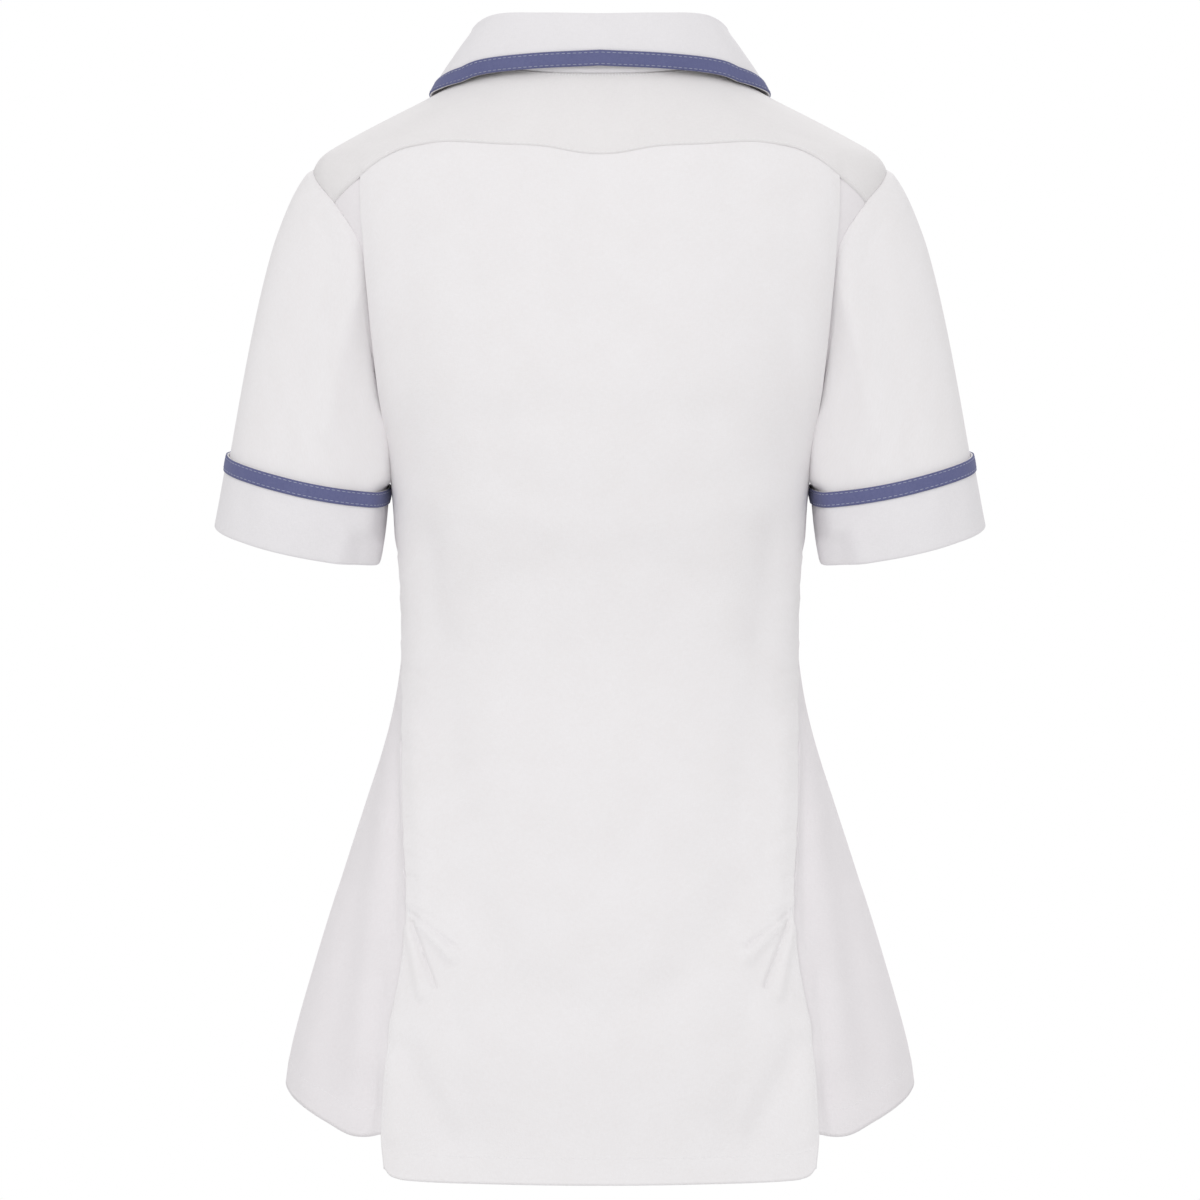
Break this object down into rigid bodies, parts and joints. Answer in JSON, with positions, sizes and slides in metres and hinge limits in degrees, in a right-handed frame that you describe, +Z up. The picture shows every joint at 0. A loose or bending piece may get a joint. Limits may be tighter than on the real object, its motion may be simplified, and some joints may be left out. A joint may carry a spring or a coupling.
{
  "type": "medical tunic",
  "caption": "Short-sleeved healthcare tunic, hollow and filled out: turn-down collar and cuffs edged with tape, back yoke, action pleats down the back and a vented tail.",
  "frame": {"origin": "midway between the two places where the wearer's shoulders carry the neck end of the yoke", "axes": "+Z up along the standing wearer, +Y out of the back, -Y out of the front, +X to the wearer's left"},
  "size_m": [0.5054, 0.2762, 0.7515],
  "materials": {
    "white_cloth": "matt plain-weave polyester and cotton",
    "white_cloth_under": "the same cloth, in the shade of the pleats",
    "blue_tape": "matt navy woven tape"
  },
  "bodies": {
    "root": {"back_centre": "white_cloth", "yoke": "white_cloth", "side_back_L": "white_cloth_under", "side_back_R": "white_cloth_under", "front_L": "white_cloth", "front_R": "white_cloth", "sleeve_L": "white_cloth", "sleeve_R": "white_cloth", "cuff_L": "white_cloth", "cuff_R": "white_cloth", "cuff_tape_L": "blue_tape", "cuff_tape_R": "blue_tape", "collar": "white_cloth", "collar_tape": "blue_tape"}
  },
  "joints": []
}
